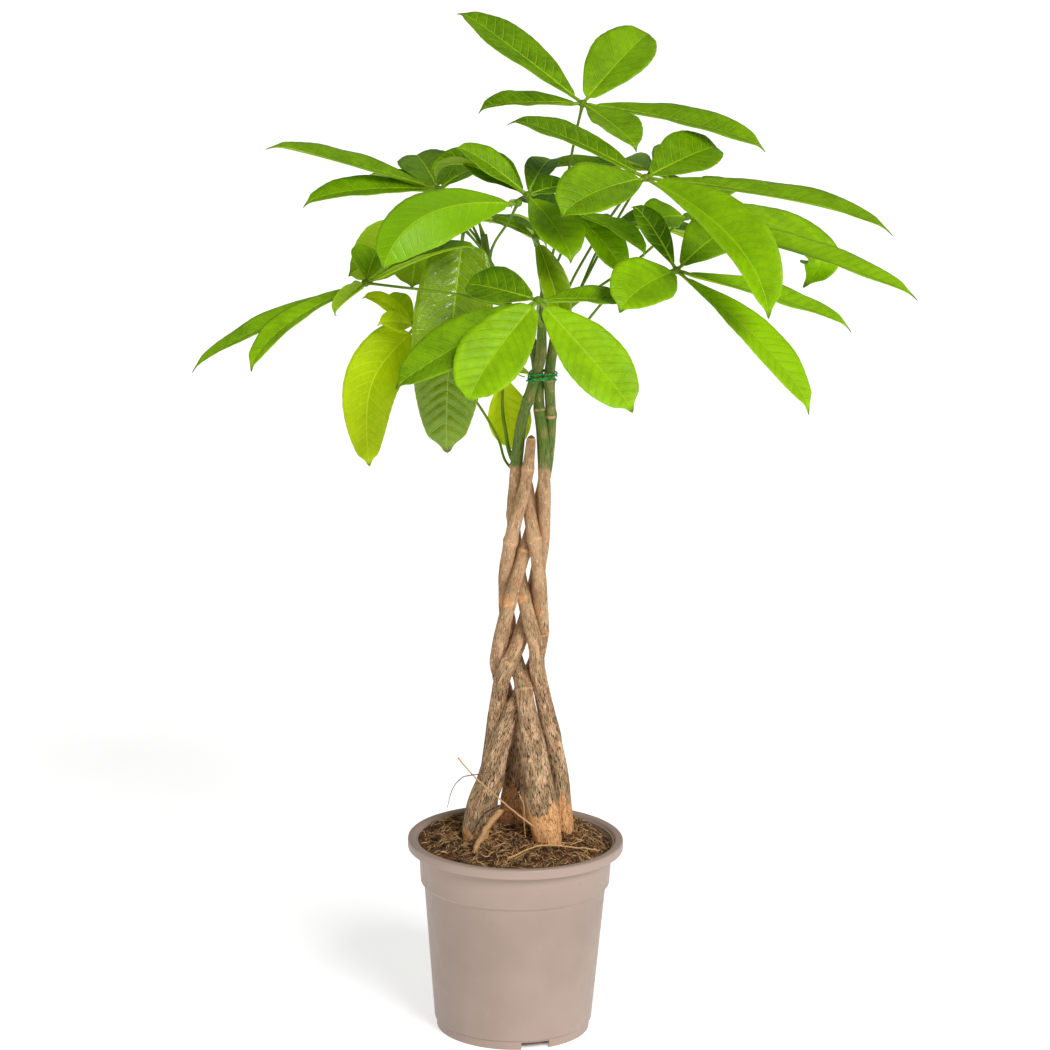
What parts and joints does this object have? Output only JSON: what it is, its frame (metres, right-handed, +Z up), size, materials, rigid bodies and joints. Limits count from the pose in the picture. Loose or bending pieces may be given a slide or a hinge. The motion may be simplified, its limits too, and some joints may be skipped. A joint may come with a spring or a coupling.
{
  "type": "potted money tree",
  "caption": "Indoor money tree with a braided trunk and palmate leaves, tied with green wire, in a plain moulded nursery pot.",
  "frame": {"origin": "centre of the pot's underside, on the surface it stands on", "axes": "+Z up along the trunk; the front of the plant, as pictured, looks along -Y; +X to the right"},
  "size_m": [0.5547, 0.3709, 0.7986],
  "materials": {
    "pot": "matt taupe moulded plastic",
    "soil": "damp dark peat with coarse golden fibres",
    "stem": "grey-brown fissured bark, smooth and green at the top, rusty and peeling at the foot",
    "tie": "bright green coated garden wire",
    "leaf": "mid-green leathery leaf with a satin sheen and paler ribs",
    "leaf_young": "yellow-green young leaf with a satin sheen",
    "leaf_dark": "dark glossy green leaf with pale side veins"
  },
  "bodies": {
    "root": {"pot": "pot", "soil": "soil", "stem_right": "stem", "stem_front": "stem", "stem_left": "stem", "stem_back_left": "stem", "stem_back": "stem", "tie": "tie", "leaf_top": "leaf", "leaf_upper_right": "leaf", "leaf_far_right": "leaf", "leaf_right": "leaf", "leaf_front": "leaf", "leaf_centre": "leaf", "leaf_bright": "leaf_young", "leaf_left_upper": "leaf", "leaf_left": "leaf", "leaf_left_inner": "leaf", "leaf_hanging": "leaf_dark", "leaf_yellow": "leaf_young", "leaf_shoot": "leaf_young", "leaf_inner": "leaf", "leaf_back": "leaf", "leaf_rolled": "leaf_dark", "leaf_back_left": "leaf", "leaf_back_right": "leaf"}
  },
  "joints": []
}
